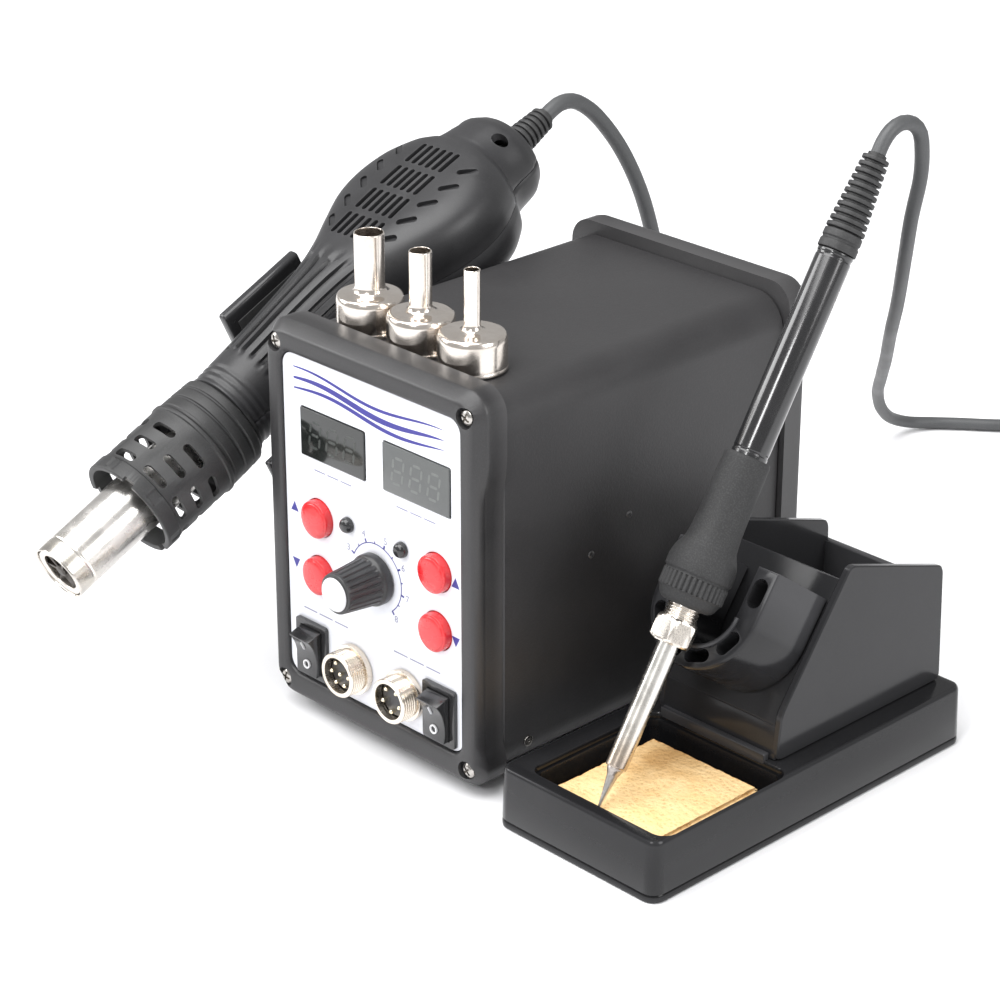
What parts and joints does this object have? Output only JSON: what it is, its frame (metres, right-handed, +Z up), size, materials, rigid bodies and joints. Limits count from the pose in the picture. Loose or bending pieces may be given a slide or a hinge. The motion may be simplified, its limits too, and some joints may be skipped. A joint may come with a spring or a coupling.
{
  "type": "soldering_station",
  "caption": "Hot-air rework and soldering station: control case with heat gun in a side cradle, spare nozzles on the lid, and a soldering iron in its own sponge stand",
  "frame": {"origin": "centre of the footprint at the bottom of the set, cords left out", "axes": "+Z up; +X to the user's right, from the heat gun to the iron stand; +Y away from the user, from the front panel to the rear; -Y is the front"},
  "size_m": [0.2556, 0.4989, 0.2162],
  "materials": {
    "case_plastic": "fine-grained dark charcoal",
    "panel_white": "smooth white print ground",
    "smoked_window": "polished smoked window",
    "smoked_window_grey": "polished grey window",
    "coral_button": "glossy coral red",
    "black_gloss": "glossy black",
    "knob_black": "satin black",
    "knob_white": "white cap",
    "nickel": "bright nickel plate",
    "steel": "turned steel",
    "heated_steel": "heat-tinted steel",
    "tip_plating": "plated working tip",
    "gun_plastic": "dark satin plastic",
    "stand_black": "semi-gloss black",
    "grip_rubber": "matte black rubber",
    "relief_rubber": "flexible black rubber",
    "foot_rubber": "soft black foot",
    "cord_jacket": "dark grey cord jacket",
    "sponge_cellulose": "damp yellow cellulose",
    "plate_zinc": "rear steel plate",
    "core_ceramic": "unglazed heater former",
    "board_green": "printed board",
    "iron_core": "varnished laminated iron",
    "rotor_plastic": "moulded rotor"
  },
  "bodies": {
    "root": {"case_shell": "case_plastic", "front_bezel": "case_plastic", "rear_bezel": "case_plastic", "rear_panel": "plate_zinc", "mains_inlet": "black_gloss", "foot_front_left": "foot_rubber", "foot_rear_left": "foot_rubber", "foot_front_right": "foot_rubber", "foot_rear_right": "foot_rubber", "transformer": "iron_core", "control_board": "board_green", "air_potentiometer": "knob_black", "front_panel": "panel_white", "display_window_left": "smoked_window", "display_window_right": "smoked_window_grey", "cal_plug_left": "black_gloss", "cal_plug_right": "black_gloss", "rocker_housing_left": "black_gloss", "rocker_housing_right": "black_gloss", "socket_shell_left": "nickel", "socket_shell_right": "nickel", "socket_insert_left": "knob_black", "socket_insert_right": "knob_black", "gun_cradle": "case_plastic", "stand_base": "stand_black", "sponge": "sponge_cellulose", "stand_upright": "stand_black", "iron_receptacle": "stand_black", "gun_cord": "cord_jacket", "gun_cord_coil": "cord_jacket", "gun_plug": "knob_black", "iron_cord": "cord_jacket", "iron_cord_coil": "cord_jacket", "iron_plug": "knob_black"},
    "button_air_up": {"button_air_up": "coral_button"},
    "button_air_down": {"button_air_down": "coral_button"},
    "button_iron_up": {"button_iron_up": "coral_button"},
    "button_iron_down": {"button_iron_down": "coral_button"},
    "air_knob": {"air_knob": "knob_black", "knob_cap": "knob_white"},
    "rocker_left": {"rocker_left": "black_gloss"},
    "rocker_right": {"rocker_right": "black_gloss"},
    "nozzle_large": {"nozzle_large": "nickel"},
    "nozzle_medium": {"nozzle_medium": "nickel"},
    "nozzle_small": {"nozzle_small": "nickel"},
    "heat_gun": {"gun_handle_upper": "gun_plastic", "gun_handle_lower": "gun_plastic", "gun_heat_guard": "gun_plastic", "gun_heater_tube": "heated_steel", "gun_outlet_ring": "heated_steel", "gun_heater_core": "core_ceramic", "gun_cord_relief": "relief_rubber"},
    "blower_rotor": {"blower_rotor": "rotor_plastic"},
    "iron": {"iron_tip": "tip_plating", "iron_heater": "core_ceramic", "iron_barrel": "steel", "iron_nut": "nickel", "iron_grip": "grip_rubber", "iron_handle_tube": "black_gloss", "iron_cord_relief": "relief_rubber"}
  },
  "joints": [
    {"name": "button_air_up_press", "type": "slide", "parent": "root", "child": "button_air_up", "axis": [0, 1, 0], "range_m": [0, 0.001], "stiffness_N_per_m": 400, "springref_m": -0.002},
    {"name": "button_air_down_press", "type": "slide", "parent": "root", "child": "button_air_down", "axis": [0, 1, 0], "range_m": [0, 0.001], "stiffness_N_per_m": 400, "springref_m": -0.002},
    {"name": "button_iron_up_press", "type": "slide", "parent": "root", "child": "button_iron_up", "axis": [0, 1, 0], "range_m": [0, 0.001], "stiffness_N_per_m": 400, "springref_m": -0.002},
    {"name": "button_iron_down_press", "type": "slide", "parent": "root", "child": "button_iron_down", "axis": [0, 1, 0], "range_m": [0, 0.001], "stiffness_N_per_m": 400, "springref_m": -0.002},
    {"name": "air_knob_turn", "type": "hinge", "parent": "root", "child": "air_knob", "pos_m": [-0.00615, -0.0572, 0.066], "axis": [0, 1, 0], "range_deg": [-135, 135]},
    {"name": "rocker_left_tip", "type": "hinge", "parent": "root", "child": "rocker_left", "pos_m": [-0.03935, -0.04822, 0.0272], "axis": [1, 0, 0], "range_deg": [-24, 0]},
    {"name": "rocker_right_tip", "type": "hinge", "parent": "root", "child": "rocker_right", "pos_m": [0.02505, -0.04822, 0.0272], "axis": [1, 0, 0], "range_deg": [-24, 0]},
    {"name": "nozzle_large_lift", "type": "slide", "parent": "root", "child": "nozzle_large", "axis": [0, 0, 1], "range_m": [0, 0.06]},
    {"name": "nozzle_medium_lift", "type": "slide", "parent": "root", "child": "nozzle_medium", "axis": [0, 0, 1], "range_m": [0, 0.06]},
    {"name": "nozzle_small_lift", "type": "slide", "parent": "root", "child": "nozzle_small", "axis": [0, 0, 1], "range_m": [0, 0.06]},
    {"name": "heat_gun_lift", "type": "slide", "parent": "root", "child": "heat_gun", "axis": [0, -0.4289, 0.9033], "range_m": [0, 0.06], "deforming": ["gun_cord"]},
    {"name": "blower_spin", "type": "hinge", "parent": "heat_gun", "child": "blower_rotor", "pos_m": [-0.09415, 0.05781, 0.1402], "axis": [0, -0.4289, 0.9033], "continuous": true},
    {"name": "iron_draw", "type": "slide", "parent": "root", "child": "iron", "axis": [0, 0.5446, 0.8387], "range_m": [0, 0.1], "deforming": ["iron_cord"]}
  ]
}
